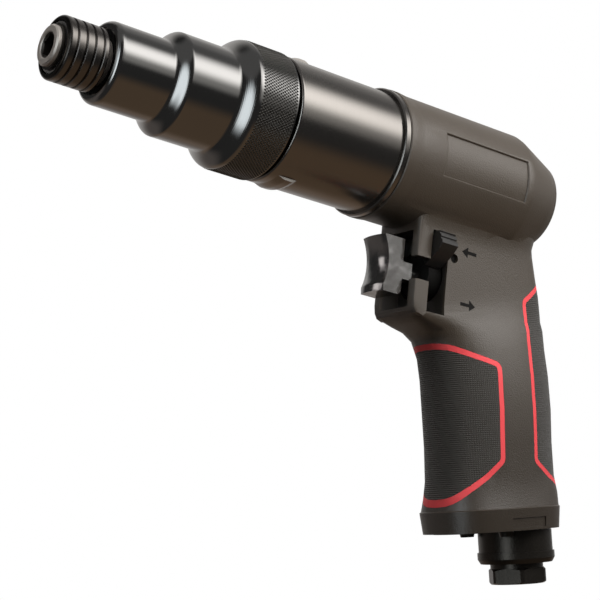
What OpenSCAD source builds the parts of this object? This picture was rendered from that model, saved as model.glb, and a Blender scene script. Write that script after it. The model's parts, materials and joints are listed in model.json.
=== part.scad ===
/* [Bit chuck] */
// Hex socket size across its flats
bit_af = 6.35; // [6:0.05:6.8]
// Depth of the hex socket
socket_depth = 24; // [18:1:28]
// Radius of the bit holder
holder_r = 6.2; // [5.9:0.1:6.5]
// Radius of the quick-change sleeve
sleeve_r = 9.7; // [9.3:0.1:10]
// Length of the quick-change sleeve
sleeve_len = 13; // [12.5:0.1:14]
// Distance of the sleeve behind the socket mouth
sleeve_inset = 2.1; // [1.8:0.1:2.6]
// Number of turned bands on the sleeve
sleeve_bands = 5; // [3:1:7]
// Radius of the bit locking ball
bit_ball_r = 1.6; // [1.5:0.05:1.7]

/* [Clutch housing] */
// Radius of the front step
step1_r = 12.6; // [12.2:0.1:13.4]
// Radius of the middle step
step2_r = 16.1; // [15.6:0.1:17]
// Radius of the knurled step
step3_r = 20.2; // [19.6:0.1:21]
// Length of the front step
step1_len = 18.4; // [18:0.1:24]
// Length of the middle step
step2_len = 20.2; // [19:0.1:24]
// Length of the knurled step
step3_len = 20.1; // [18.5:0.1:22]

/* [Gear case] */
// Depth of the gear case's surface below the barrel's
case_inset = 1.05; // [0.6:0.05:1.4]
// Length of the gear case from its front edge to its rear flange
case_len = 39.3; // [38:0.1:42]
// Gap between the clutch housing and the gear case
case_gap = 0.7; // [0.4:0.1:1.2]
// Height of the two bosses on the gear case
boss_h = 0.8; // [0.4:0.05:1.2]
// Width of the two bosses
boss_w = 13; // [10:0.5:16]
// Height of the rear flange above the barrel
flange_proud = 0.15; // [0:0.05:0.5]
// Length of the rear flange
flange_len = 1.9; // [1.5:0.1:3]

/* [Gears] */
// Gear module
gear_module = 0.7; // [0.68:0.01:0.71]
// Teeth on the rotor pinion
sun_teeth = 9; // [9:3:9]
// Teeth on each planet gear
planet_teeth = 18; // [18:1:18]
// Face width of the planet gears
gear_width = 9; // [7:0.5:10]
// Radius of the planet pins
planet_pin_r = 1.9; // [1.6:0.1:2.2]

/* [Motor] */
// Radius of the motor bore in the housing
motor_bore_r = 17.5; // [17:0.1:17.8]
// Radius of the rotor
rotor_r = 12; // [11.5:0.1:12.4]
// Distance of the cylinder bore from the rotor axis
motor_offset = 1.5; // [1:0.1:1.8]
// Number of vanes
vane_count = 5; // [4:1:6]

/* [Housing barrel] */
// Radius of the barrel
barrel_r = 21.05; // [20.8:0.05:21.6]
// Height of the barrel's front rim
rim_proud = 0.35; // [0.2:0.05:0.6]
// Length of the barrel to the ridge at its rear
barrel_len = 54.2; // [50:0.1:60]
// Length of the rounded rear
dome_len = 21.8; // [20:0.1:26]

/* [Handle] */
// Rake of the handle from square to the barrel
rake = 11; // [8:0.5:14]
// Drop of the base below the spindle axis, at the air inlet
handle_drop = 110.5; // [106:0.5:118]
// Width of the trigger block
block_w = 20.6; // [20:0.2:24]
// Width of the grip
grip_w = 32; // [30:0.5:34]
// Depth of the grip from front to rear
grip_depth = 47.2; // [46:0.2:50]
// Distance of the grip's front ahead of the inlet axis
grip_front = 32.4; // [32:0.2:34]
// Width of the base rim
base_w = 34; // [33:0.5:36]
// Height of the base rim
rim_h = 7; // [5:0.5:9]
// Thickness of the rubber inserts
insert_t = 2.2; // [1.6:0.1:2.4]
// Width of the front outline
front_trim_w = 1.8; // [1.2:0.1:2.4]
// Width of the rear outline
rear_trim_w = 1.7; // [1:0.1:2.2]

/* [Trigger] */
// Distance of the trigger block's front behind the housing's front face
block_setback = 15.3; // [14.4:0.1:16.2]
// Drop of the trigger axis below the spindle axis
trigger_drop = 35.5; // [35:0.1:37]
// Width of the trigger
trigger_w = 11.4; // [10:0.2:12.4]
// Height of the trigger
trigger_h = 18.4; // [16:0.2:20]
// Depth of the trigger from front to rear
trigger_d = 9.2; // [7:0.2:10]
// Travel of the trigger
trigger_travel = 5; // [4:0.1:5.2]
// Radius of the trigger rod
rod_r = 2.4; // [2:0.1:2.6]

/* [Reversing] */
// Radius of the bore for the valve bush
valve_bore_r = 7.6; // [7.2:0.1:7.8]
// Width of the lever slot
slot_w = 7.2; // [6.6:0.1:7.6]
// Height of the lever slot
slot_h = 27; // [26:0.2:28]
// Turn of the lever between its two ends
lever_turn = 68; // [60:1:74]

/* [Inlet] */
// Size of the inlet hex across its flats
inlet_af = 17.5; // [17:0.1:18.4]
// Radius of the inlet thread bore
inlet_r = 5.7; // [5.4:0.05:5.9]
// Radius of the exhaust collar
collar_out_r = 12.2; // [12:0.1:12.6]
// Radius of the base screw heads
screw_head_r = 2.6; // [2.2:0.1:3]

/* [Hidden] */

// Facets of round shapes and of the arcs in profiles
round_fn = 96;
arc_steps = 8;

// Clearances: running fit, seat of a fixed piece, room round a moving piece
run_fit = 0.06;
seat_fit = 0.05;
room = 0.3;

// Stations behind the socket mouth, front to rear
sleeve_end = sleeve_inset + sleeve_len;
nose_gap = 1.2;
nose_s = sleeve_end + nose_gap;
step2_s = nose_s + step1_len;
step3_s = step2_s + step2_len;
clutch_end = step3_s + step3_len;
case_s = clutch_end + case_gap;
flange_s = case_s + case_len;
joint_s = flange_s + flange_len;
gasket_t = 0.4;
housing_s = joint_s + gasket_t;
ridge_s = housing_s + barrel_len;
rear_s = ridge_s + dome_len;

// The gear case lines up with the barrel
case_r = barrel_r - case_inset;
boss_top_r = case_r + boss_h;
flange_r = barrel_r + flange_proud;

// Chuck: clip, washer, spring, land over the ball
clip_s = 1.5;
clip_t = 0.9;
clip_depth = 0.5;
stop_t = 0.8;
stop_s = clip_s + clip_t + seat_fit;
chamber_r = sleeve_r - 1.7;
land_len = 2.8;
land_s = sleeve_inset + 6.7;
bit_ball_s = land_s + land_len / 2;
bit_ball_at = holder_r - bit_ball_r;
journal_r = holder_r + 0.8;
relief_r = journal_r + 0.4;
band_pitch = 2.8;
band_depth = 0.35;
sleeve_wire_r = 0.35;

// Clutch
nose_hole_r = sleeve_r + 0.5;
nose_lip = 0.5;
bush_r = step1_r - 2.6;
bush_s = sleeve_end + 2.3;
bush_len = step2_s - bush_s - 1.7;
clutch_bore_r = step2_r - 2.9;
rear_bore_r = step3_r - 3.6;
jaw_r = clutch_bore_r - 0.9;
flange_jaw_t = 3.3;
jaw_s = step2_s + 2.5;
driven_s = jaw_s + flange_jaw_t;
driven_t = 3.8;
jaw_gap = 1.6;
drive_s = driven_s + driven_t + jaw_gap;
drive_t = 5.2;
clutch_ball_r = 2;
clutch_ball_at = jaw_r - 3.8;
clutch_ball_count = 3;
pilot_r = 4;
shaft_r = 6;
pilot_len = driven_t + jaw_gap + 1.5;
spigot_r = rear_bore_r - 0.3;
spigot_len = 7.6;
nut_t = 4.5;
nut_s = clutch_end - spigot_len - nut_t - 0.5;
nut_r = 9.8;
clutch_wire_r = 1.1;
clutch_spring_s = drive_s + drive_t + seat_fit;

// Gear train
bearing_w = 6;
bearing_r = 9.5;
carrier_bearing_r = 12;
carrier_bearing_s = case_s + 3.3;
carrier_t = 3.5;
carrier_s = carrier_bearing_s + bearing_w + 0.4;
ring_teeth = sun_teeth + 2 * planet_teeth;
sun_pitch_r = gear_module * sun_teeth / 2;
planet_pitch_r = gear_module * planet_teeth / 2;
ring_pitch_r = gear_module * ring_teeth / 2;
orbit_r = sun_pitch_r + planet_pitch_r;
addendum = 0.8 * gear_module;
dedendum = 1.15 * gear_module;
backlash = 0.14;
pressure_angle = 20;
planet_count = 3;
planet_s = carrier_s + carrier_t + room;
pin_proud = 1;
ring_s = planet_s - 0.4;
ring_len = gear_width + 3;
ring_root_r = ring_pitch_r + dedendum;
ring_r = ring_root_r + (case_r - ring_root_r) / 3;
sun_s = planet_s + room;
sun_len = gear_width + 0.5;
gasket_r = barrel_r - 0.3;
gasket_w = 1.25;
rear_spigot_r = gasket_r - gasket_w - 2 * seat_fit;
rear_spigot_len = 5;

// Motor
plate_t = 7;
plate_r = motor_bore_r - 0.2;
front_plate_s = joint_s + rear_spigot_len + 0.2;
cylinder_s = front_plate_s + plate_t;
motor_end = ridge_s + 0.1;
rear_plate_s = motor_end - plate_t;
cylinder_len = rear_plate_s - cylinder_s;
cylinder_bore_r = rotor_r + motor_offset + 0.2;
front_shaft_r = 3.5 - run_fit;
rear_shaft_r = 3 - run_fit;
plate_web = 1;
vane_t = 1.5;
vane_root_r = 5.6;

// Handle frame: origin where the inlet axis meets the base, x forward and z up along the handle
trigger_z = -trigger_drop;
block_s = housing_s + block_setback;
block_x = -block_s;
block_hw = block_w / 2;
chamber_s = block_s + 47.4;
base_z = -handle_drop;
base_x = -(chamber_s - 2.2 + (handle_drop - trigger_drop) * tan(rake));
grip_rear = grip_front - grip_depth;
grip_hw = grip_w / 2;
base_hw = base_w / 2;
base_front = grip_front + 1.9;
base_rear = grip_rear - 0.2;
block_foot_z = trigger_z - 17;
web_rear_x = -(rear_s - 5.9);

// Trigger and throttle, along the trigger axis
pocket_hw = 7.1;
pocket_hh = 12.6;
trigger_gap = 1.9;
trigger_rear_s = block_s - trigger_gap;
tongue_hh = 2.8;
tongue_low = 1;
tongue_len = 3.9;
tongue_w = trigger_w - 0.2;
pocket_d = tongue_len - trigger_gap + trigger_travel + 2 * room;
hub_s = block_s + pocket_d + room;
hub_r = 7;
slot_s = block_s + pocket_d - 2.1;
hub_end = slot_s + slot_w + 0.8;
spool_r = valve_bore_r - 1.2;
valve_bush_s = hub_end + 0.3;
valve_bush_end = chamber_s - 12;
seat_s = valve_bush_end + 0.2;
seat_t = 3.8;
seat_hole_r = 3.4;
poppet_s = seat_s + seat_t + seat_fit;
poppet_r = 4.7;
poppet_t = 2.2;
boss_r = 2.2;
boss_len = 1.5;
chamber_bore_r = 5.6;
closed_spring = 3.25;
chamber_end = poppet_s + poppet_t + boss_len + trigger_travel + closed_spring;
valve_wire_r = 0.45;
port_r = 2.2;
port_stations = [for (at = [0.3, 0.7]) valve_bush_s + at * (valve_bush_end - valve_bush_s)];

// Base and inlet, along the handle axis
plate_inset = 3;
plate_proud = 0.2;
base_plate_t = 2.6;
plate_top = base_plate_t - plate_proud;
shank_r = 8;
shank_top = 27;
shank_hole_r = 4.8;
thread_len = 13.2;
screen_r = 5.2;
screen_t = 1.2;
neck_r = 8.7;
ring_lip_r = collar_out_r + 0.5;
lip_low = -11;
lip_top = -7.3;
collar_top = -0.4;
neck_low = -12.6;
hex_low = -17.7;
muffler_r = 11.3;
muffler_top = 17.5;
screw_r = 1.5;
screw_places = [[12.5, base_hw - 7.5]];
screw_head_t = 1.6;
screw_len = 10;

// Pieces drawn about the spindle axis, with local z running back from the socket mouth
module on_spindle() rotate([0, -90, 0]) children();
module turned(profile) on_spindle() rotate_extrude($fn = round_fn) polygon(profile);
module shaft(r, from, to) on_spindle() translate([0, 0, from]) cylinder(r = r, h = to - from, $fn = round_fn);
module tube(r_out, r_in, from, to) turned([[r_in, from], [r_out, from], [r_out, to], [r_in, to]]);

// Pieces drawn about the trigger axis, and in the handle frame
module on_trigger() translate([0, 0, trigger_z]) children();
module in_handle() translate([base_x, 0, base_z]) rotate([0, rake, 0]) children();
module handle_post(r, low, high) translate([0, 0, low]) cylinder(r = r, h = high - low, $fn = round_fn);

// Points of a rounded shoulder that rises from one radius to the next
function shoulder(r0, r1, from, to) = [
    for (i = [0:arc_steps]) let (a = 90 * i / arc_steps)
        [r0 + (r1 - r0) * sin(a), from + (to - from) * (1 - cos(a))]
];

// Points of a step that swells smoothly from one radius to the next
function swell(r0, r1, from, to) = [
    for (i = [0:2 * arc_steps]) let (t = i / (2 * arc_steps))
        [r0 + (r1 - r0) * (3 - 2 * t) * t * t, from + (to - from) * t]
];

// Involute tooth: half its angle at a radius
function involute(a) = tan(a) * 180 / PI - a;
function flank(r, pitch_r, teeth, slack) =
    let (base_r = pitch_r * cos(pressure_angle), a = r > base_r ? acos(base_r / r) : 0)
    90 / teeth - slack * 90 / PI / pitch_r + involute(pressure_angle) - involute(a);
function polar(r, a) = [r * cos(a), r * sin(a)];
module gear_outline(teeth, tip, root, slack) {
    pitch_r = gear_module * teeth / 2;
    radii = [for (i = [0:4]) root + (tip - root) * i / 4];
    polygon([
        for (k = [0:teeth - 1]) let (mid = 360 * k / teeth) each concat(
            [for (r = radii) polar(r, mid - flank(r, pitch_r, teeth, slack))],
            [for (i = [4:-1:0]) polar(radii[i], mid + flank(radii[i], pitch_r, teeth, slack))])
    ]);
}

// Coil spring of round wire about local z
module coil(r, wire_r, length, turns) {
    sides = 8;
    steps = ceil(turns * 14);
    rise = length - 2 * wire_r;
    points = [
        for (i = [0:steps], j = [0:sides - 1]) let (a = 360 * turns * i / steps, b = 360 * j / sides)
            [(r + wire_r * cos(b)) * cos(a), (r + wire_r * cos(b)) * sin(a),
             wire_r + rise * i / steps + wire_r * sin(b)]
    ];
    walls = [
        for (i = [0:steps - 1], j = [0:sides - 1]) let (k = (j + 1) % sides)
            each [[i * sides + j, i * sides + k, (i + 1) * sides + k],
                  [i * sides + j, (i + 1) * sides + k, (i + 1) * sides + j]]
    ];
    ends = [[for (j = [sides - 1:-1:0]) j], [for (j = [0:sides - 1]) steps * sides + j]];
    polyhedron(points, concat(walls, ends));
}

// Handle sections from the base up: front point, rear point, half width, front and rear squareness
function in_plane(p, q) = [
    base_x + p * cos(rake) + q * sin(rake),
    base_z - p * sin(rake) + q * cos(rake)
];
handle_sections = [
    [in_plane(base_front - 0.7, 0), in_plane(base_rear + 0.6, 0), base_hw - 0.7, 2.8, 2.4],
    [in_plane(base_front, rim_h), in_plane(base_rear, rim_h), base_hw, 2.8, 2.4],
    [in_plane(base_front - 0.5, rim_h + 0.3), in_plane(base_rear + 0.3, rim_h + 0.3), base_hw - 0.4, 2.8, 2.4],
    [in_plane(grip_front + 1, rim_h + 4.5), in_plane(grip_rear - 0.5, rim_h + 4.5), grip_hw - 0.1, 2.6, 2.3],
    [in_plane(grip_front + 0.2, rim_h + 10), in_plane(grip_rear + 0.1, rim_h + 10), grip_hw - 0.5, 2.5, 2.2],
    [in_plane(grip_front - 0.2, 28), in_plane(grip_rear + 0.3, 28), grip_hw - 0.2, 2.4, 2.2],
    [in_plane(grip_front - 0.2, 39), in_plane(grip_rear - 0.3, 39), grip_hw, 2.4, 2.2],
    [in_plane(grip_front + 0.2, 50), in_plane(grip_rear - 0.4, 50), grip_hw - 0.6, 2.4, 2.2],
    [in_plane(grip_front + 1.2, 57), in_plane(grip_rear - 0.2, 59), grip_hw - 1.8, 2.5, 2.2],
    [[block_x - 13.3, block_foot_z - 3.2], in_plane(grip_rear - 0.3, 65.5), block_hw + 2.8, 3, 2.3],
    [[block_x - 9.5, block_foot_z - 1], [web_rear_x - 6.5, trigger_z - 4.9], block_hw + 1.6, 3.6, 2.4],
    [[block_x - 5.2, block_foot_z + 0.2], [web_rear_x - 6, trigger_z - 2.1], block_hw + 0.9, 5, 2.6],
    [[block_x - 2.4, block_foot_z + 1.4], [web_rear_x - 5.3, trigger_z + 0.5], block_hw + 0.4, 8, 2.8],
    [[block_x - 0.6, block_foot_z + 3.1], [web_rear_x - 4.4, trigger_z + 3.5], block_hw + 0.1, 12, 3],
    [[block_x, block_foot_z + 6.5], [web_rear_x - 3.4, trigger_z + 6.7], block_hw, 16, 3],
    [[block_x, trigger_z + 4], [web_rear_x - 2.3, trigger_z + 9.7], block_hw, 16, 3],
    [[block_x, -barrel_r - 3.5], [web_rear_x - 1.3, trigger_z + 12.7], block_hw, 16, 3],
    [[block_x, -barrel_r - 0.2], [web_rear_x - 0.5, -barrel_r + 1.5], block_hw + 0.3, 14, 2.8],
    [[block_x, -barrel_r + 2.4], [web_rear_x, -barrel_r + 4], block_hw + 1.1, 12, 2.6],
    [[block_x, -barrel_r + 4.6], [web_rear_x - 0.6, -barrel_r + 6.8], block_hw + 2.4, 10, 2.4],
    [[block_x, -barrel_r + 8], [web_rear_x - 2, -barrel_r + 9.8], block_hw + 3, 8, 2.2],
    [[block_x, -barrel_r + 13], [web_rear_x, -barrel_r + 13], block_hw, 8, 2.2]
];
section_points = 36;
function section_ring(s, inset) =
    let (mid = (s[0] + s[1]) / 2, half = norm(s[0] - s[1]) / 2, way = (s[0] - s[1]) / (2 * half))
    [
        for (i = [0:section_points - 1])
            let (
                a = 360 * i / section_points,
                square = cos(a) >= 0 ? s[3] : s[4],
                along = (half - inset) * sign(cos(a)) * pow(abs(cos(a)), 2 / square),
                across = (s[2] - inset) * sign(sin(a)) * pow(abs(sin(a)), 2 / square)
            )
            [mid[0] + along * way[0], across, mid[1] + along * way[1]]
    ];
module handle_form(inset) {
    rings = len(handle_sections);
    n = section_points;
    points = [for (s = handle_sections) each section_ring(s, inset)];
    walls = [
        for (i = [0:rings - 2], j = [0:n - 1]) let (k = (j + 1) % n)
            each [[i * n + j, (i + 1) * n + k, i * n + k], [i * n + j, (i + 1) * n + j, (i + 1) * n + k]]
    ];
    ends = [[for (j = [0:n - 1]) j], [for (j = [n - 1:-1:0]) (rings - 1) * n + j]];
    polyhedron(points, concat(walls, ends));
}

// Side outlines of the rubber inserts, in the handle frame
insert_reach = 22;
insert_corner = 3;
front_outline = [
    [grip_front + insert_reach, 66.5], [grip_front - 1.4, 60.2], [23.6, 57.2], [14.6, 53.9], [15.1, 46],
    [15.7, 34], [16.2, 22], [22.5, 16.8], [28.4, 12.8], [grip_front + 1.2, 8.6], [grip_front + insert_reach, -8]
];
rear_outline = [
    [grip_rear - insert_reach, 87], [-11.4, 81.2], [-1.3, 75.4], [-0.7, 70], [0.9, 62], [2.1, 52], [2.8, 42],
    [3.1, 30], [3.4, 21.7], [1.2, 19.9], [-4, 16.5], [-11.4, 13.2], [grip_rear - insert_reach, 8]
];
module insert_cut(outline, inset) {
    in_handle() rotate([90, 0, 0]) translate([0, 0, -base_w]) linear_extrude(2 * base_w)
        offset(delta = -inset) offset(r = insert_corner, $fn = 32) offset(delta = -insert_corner)
            polygon(outline);
}
module insert_shell(outline, from, to) {
    difference() {
        intersection() {
            handle_form(0);
            insert_cut(outline, from);
        }
        handle_form(insert_t);
        if (to > from) insert_cut(outline, to);
    }
}

module motor_housing() {
    color("dimgray") difference() {
        union() {
            housing_barrel();
            difference() {
                handle_form(0);
                insert_cut(front_outline, 0);
                insert_cut(rear_outline, 0);
            }
            handle_form(insert_t + 2 * seat_fit);
            trigger_block();
        }
        motor_room();
        trigger_room();
        inlet_room();
        name_recess();
        plate_recess();
    }
}
module housing_barrel() {
    dome_from = 43;
    dome_r = barrel_r * 1.04;
    dome_power = 1.19;
    dome = [
        for (i = [0:arc_steps]) let (a = dome_from + (90 - dome_from) * i / arc_steps)
            [dome_r * pow(cos(a), dome_power), ridge_s + dome_len * sin(a)]
    ];
    rim_r = barrel_r + rim_proud;
    turned(concat(
        [[0, housing_s], [rim_r - 0.3, housing_s], [rim_r, housing_s + 0.3]],
        swell(rim_r, barrel_r, housing_s + 1.2, housing_s + 6),
        [[barrel_r, ridge_s - 1.6], [barrel_r - 0.35, ridge_s - 0.1]],
        dome));
}
// Square front of the trigger block, with its foot and its two upright edges rounded
module trigger_block() {
    edge = 1.1;
    depth = 10;
    foot = block_foot_z;
    side = [[0, -barrel_r + 8], [0, foot + 6.5], [-0.4, foot + 4], [-1.4, foot + 2.4], [-3.2, foot + 1.8],
            [-6, foot + 4.2], [-depth, foot + 10], [-depth, -barrel_r + 8]];
    translate([block_x, 0, 0]) hull() {
        rotate([90, 0, 0]) linear_extrude(block_w - 2 * edge, center = true) polygon(side);
        translate([-edge, 0, 0]) rotate([90, 0, 0]) linear_extrude(block_w, center = true)
            offset(delta = -0.01) polygon(side);
        translate([-0.3 * edge, 0, 0]) rotate([90, 0, 0]) linear_extrude(block_w - 0.6 * edge, center = true)
            polygon(side);
    }
}
module motor_room() {
    shaft(rear_spigot_r + seat_fit, housing_s - 1, front_plate_s);
    shaft(motor_bore_r, housing_s, motor_end + 0.1);
    shaft(rear_shaft_r + 2, motor_end, motor_end + 2);
    for (at = port_stations) translate([-at, 0, trigger_z])
        cylinder(r = port_r, h = trigger_drop - motor_bore_r + 2, $fn = round_fn);
}
module trigger_room() {
    on_trigger() {
        translate([-block_s - pocket_d, -pocket_hw, -pocket_hh])
            cube([pocket_d + 1, 2 * pocket_hw, 2 * pocket_hh]);
        shaft(hub_r + 1.2, block_s + pocket_d - 0.1, hub_end);
        shaft(valve_bore_r, block_s + pocket_d, seat_s + seat_t + seat_fit);
        shaft(chamber_bore_r, seat_s, chamber_end);
        translate([-slot_s - slot_w, 0, -slot_h / 2]) cube([slot_w, block_w, slot_h]);
        translate([-slot_s - 0.1, pocket_hw - 1, -3.8]) cube([slot_s - block_s + 1, block_w, 7.6]);
        pin_place() cylinder(r = screw_r + seat_fit, h = block_w, $fn = round_fn);
    }
}
pin_depth = 5.1;
module pin_place() translate([-(slot_s + slot_w + 2.6), block_hw - pin_depth, 6.1])
    rotate([-90, 0, 0]) children();
module inlet_room() {
    in_handle() {
        handle_post(shank_r + seat_fit, -1, shank_top);
        handle_post(shank_hole_r, 0, (handle_drop - trigger_drop) / cos(rake));
        handle_post(muffler_r + room, -1, muffler_top + room);
        base_recess(plate_inset);
        translate([24.8, 0, 0]) handle_post(4, muffler_top - 6, handle_drop - trigger_drop);
        translate([0, -4, muffler_top - 8]) cube([28, 8, 7]);
        screw_each() handle_post(screw_r + seat_fit, -1, screw_len + 0.5);
    }
}
module base_recess(inset) {
    translate([0, 0, -1]) linear_extrude(1 + plate_top + seat_fit) base_outline(inset);
}
module base_outline(inset) {
    half = (base_front - base_rear) / 2 - inset;
    across = base_hw - inset;
    square = 2.4;
    translate([(base_front + base_rear) / 2, 0]) polygon([
        for (i = [0:section_points - 1]) let (a = 360 * i / section_points)
            [half * sign(cos(a)) * pow(abs(cos(a)), 2 / square),
             across * sign(sin(a)) * pow(abs(sin(a)), 2 / square)]
    ]);
}
module screw_each() for (place = screw_places, side = [-1, 1])
    translate([place[0], side * place[1], 0]) children();

// Shallow blank panel on the left side of the barrel
panel_len = 35;
panel_h = 13.6;
panel_depth = 0.7;
module name_recess() {
    intersection() {
        tube(barrel_r + 3, barrel_r - panel_depth, block_s + 0.3, block_s + 0.3 + panel_len);
        translate([-rear_s, 0, -panel_h / 2]) cube([rear_s, 2 * barrel_r, panel_h]);
    }
}

// Shallow blank plate on the left side of the base rim
rim_plate_len = 15.2;
rim_plate_h = 3.2;
rim_plate_depth = 0.4;
module plate_recess() difference() {
    in_handle() translate([0.6, 0, 0.8]) cube([rim_plate_len, base_hw + 1, rim_plate_h]);
    handle_form(rim_plate_depth);
}

module front_grip() color("black") insert_shell(front_outline, front_trim_w, 0);
module front_trim() color("crimson") insert_shell(front_outline, seat_fit, front_trim_w - seat_fit);
module rear_grip() color("black") insert_shell(rear_outline, rear_trim_w, 0);
module rear_trim() color("crimson") insert_shell(rear_outline, seat_fit, rear_trim_w - seat_fit);

module gear_case() {
    front_edge = 0.8;
    boss_s = case_s + 2;
    color("darkslategray") difference() {
        union() {
            shaft(spigot_r, clutch_end - spigot_len, case_s + 1);
            turned(concat(
                [[0, case_s]], shoulder(case_r - front_edge, case_r, case_s, case_s + front_edge),
                [[case_r, flange_s + 0.5], [0, flange_s + 0.5]]));
            intersection() {
                turned(concat(
                    [[0, boss_s]], swell(case_r - 0.2, boss_top_r, boss_s, boss_s + 4.2),
                    swell(boss_top_r, case_r - 0.2, boss_s + 6, boss_s + 9), [[0, boss_s + 9]]));
                translate([-boss_s - 9, -boss_w / 2, -boss_top_r]) cube([9, boss_w, 2 * boss_top_r]);
            }
            turned([[0, flange_s], [flange_r - 0.4, flange_s], [flange_r, flange_s + 0.4],
                    [flange_r, joint_s], [0, joint_s]]);
            shaft(rear_spigot_r, joint_s - 0.5, joint_s + rear_spigot_len);
        }
        shaft(spigot_r - 4.5, clutch_end - spigot_len - 1, carrier_bearing_s + 1);
        shaft(carrier_bearing_r + seat_fit, carrier_bearing_s - seat_fit, carrier_s);
        shaft(ring_r + seat_fit, carrier_s - 0.3, joint_s + rear_spigot_len + 1);
    }
}
module case_gasket() color("black") tube(gasket_r, gasket_r - gasket_w, joint_s, housing_s);

module clutch_housing() {
    edge = 0.8;
    outer = concat(
        shoulder(nose_hole_r + nose_lip, step1_r, nose_s, nose_s + 2.4),
        swell(step1_r, step2_r, step2_s + 0.4, step2_s + 5),
        swell(step2_r, step3_r, step3_s + 0.4, step3_s + 6),
        [[step3_r, clutch_end - edge], [step3_r - edge, clutch_end]]);
    inner = [
        [rear_bore_r, clutch_end], [rear_bore_r, step3_s + 4], [clutch_bore_r, step3_s + 1],
        [clutch_bore_r, step2_s + 5], [bush_r - 1, step2_s - 1.5], [bush_r - 1, bush_s + bush_len],
        [bush_r, bush_s + bush_len], [bush_r, bush_s], [nose_hole_r, bush_s], [nose_hole_r, nose_s]];
    color("slategray") turned(concat(outer, inner));
}
module nose_bush() color("darkgoldenrod")
    tube(bush_r - seat_fit, journal_r + run_fit, bush_s + seat_fit, bush_s + bush_len - seat_fit);

module ring_gear() color("gray") on_spindle() translate([0, 0, ring_s]) linear_extrude(ring_len)
    difference() {
        circle(r = ring_r, $fn = round_fn);
        rotate(180 / ring_teeth)
            gear_outline(ring_teeth, ring_pitch_r + dedendum, ring_pitch_r - addendum, -backlash);
    }
module gear_spacer() color("silver")
    tube(ring_r, ring_r - 1.2, ring_s + ring_len + seat_fit, joint_s + rear_spigot_len);

// Ball bearing: two races and shields, as one piece
module bearing(r_out, r_in, from) {
    dish = 0.4;
    race = (r_out - r_in) / 4;
    turned([
        [r_in, from], [r_in + race, from], [r_in + race, from + dish], [r_out - race, from + dish],
        [r_out - race, from], [r_out, from], [r_out, from + bearing_w], [r_out - race, from + bearing_w],
        [r_out - race, from + bearing_w - dish], [r_in + race, from + bearing_w - dish],
        [r_in + race, from + bearing_w], [r_in, from + bearing_w]]);
}
module carrier_bearing() color("silver") bearing(carrier_bearing_r, shaft_r + run_fit, carrier_bearing_s);
module front_bearing() color("silver") bearing(bearing_r, front_shaft_r + run_fit, front_plate_s + seat_fit);
module rear_bearing() color("silver")
    bearing(bearing_r, rear_shaft_r + run_fit, rear_plate_s + plate_web + seat_fit);
module front_end_plate() color("lightgray") difference() {
    shaft(plate_r, front_plate_s, cylinder_s);
    shaft(bearing_r + seat_fit, front_plate_s - 1, front_plate_s + bearing_w + 2 * seat_fit);
    shaft(front_shaft_r + 0.7, front_plate_s, cylinder_s + 1);
}
module rear_end_plate() color("lightgray") difference() {
    shaft(plate_r, rear_plate_s + seat_fit, motor_end);
    shaft(bearing_r + seat_fit, rear_plate_s + plate_web, motor_end + 1);
    shaft(rear_shaft_r + 0.7, rear_plate_s - 1, motor_end);
}
module motor_cylinder() color("lightslategray") difference() {
    shaft(plate_r, cylinder_s + seat_fit, rear_plate_s);
    translate([0, 0, motor_offset]) shaft(cylinder_bore_r, cylinder_s - 1, rear_plate_s + 1);
    exhaust_slots = 5;
    slot_pitch = cylinder_len / (exhaust_slots + 1);
    for (i = [1:exhaust_slots])
        translate([-cylinder_s - i * slot_pitch, 0, plate_r]) cube([2, 14, 8], center = true);
    for (at = port_stations) translate([-at, 0, -plate_r - 1])
        cylinder(r = port_r, h = plate_r, $fn = round_fn);
}

module valve_bush() color("burlywood") on_trigger() difference() {
    tube(valve_bore_r - seat_fit, spool_r + run_fit, valve_bush_s, valve_bush_end);
    for (turn = [0, 180], at = port_stations) translate([-at, 0, 0]) rotate([turn, 0, 0])
        cylinder(r = port_r, h = valve_bore_r + 1, $fn = round_fn);
    pin_place() cylinder(r = screw_r + seat_fit, h = block_w, $fn = round_fn);
}
module valve_seat() color("goldenrod") on_trigger() turned([
    [seat_hole_r, seat_s], [valve_bore_r - seat_fit, seat_s], [valve_bore_r - seat_fit, seat_s + seat_t],
    [seat_hole_r + 0.8, seat_s + seat_t], [seat_hole_r, seat_s + seat_t - 0.8]]);
module valve_spring() color("silver") on_trigger() on_spindle()
    translate([0, 0, poppet_s + poppet_t + seat_fit])
        coil(boss_r + 1.1, valve_wire_r, chamber_end - poppet_s - poppet_t - 2 * seat_fit, 4);
module bush_pin() color("dimgray") on_trigger() pin_place()
    translate([0, 0, seat_fit]) cylinder(r = screw_r, h = pin_depth - 1.2, $fn = round_fn);

module base_plate() color("gray") in_handle() difference() {
    translate([0, 0, -plate_proud]) linear_extrude(base_plate_t) base_outline(plate_inset + seat_fit);
    handle_post(shank_r + seat_fit, -1, base_plate_t + 1);
    screw_each() handle_post(screw_r + seat_fit, -1, base_plate_t + 1);
    ports = 10;
    for (i = [0:ports - 1]) rotate([0, 0, 360 * i / ports]) translate([shank_r + 1.7, 0, -1])
        cylinder(r = 1.1, h = base_plate_t + 2, $fn = 24);
}
module base_screws() color("silver") in_handle() screw_each() difference() {
    union() {
        handle_post(screw_r, -1, screw_len);
        translate([0, 0, -plate_proud - seat_fit - screw_head_t])
            cylinder(r1 = screw_head_r - 0.4, r2 = screw_head_r, h = screw_head_t, $fn = round_fn);
    }
    translate([0, 0, -plate_proud - seat_fit - screw_head_t - 0.1]) cylinder(r = 1.25, h = 1, $fn = 6);
}
module muffler() color("darkkhaki") in_handle() difference() {
    handle_post(muffler_r, plate_top + seat_fit, muffler_top);
    handle_post(shank_r + room, 0, muffler_top + 1);
}
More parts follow.
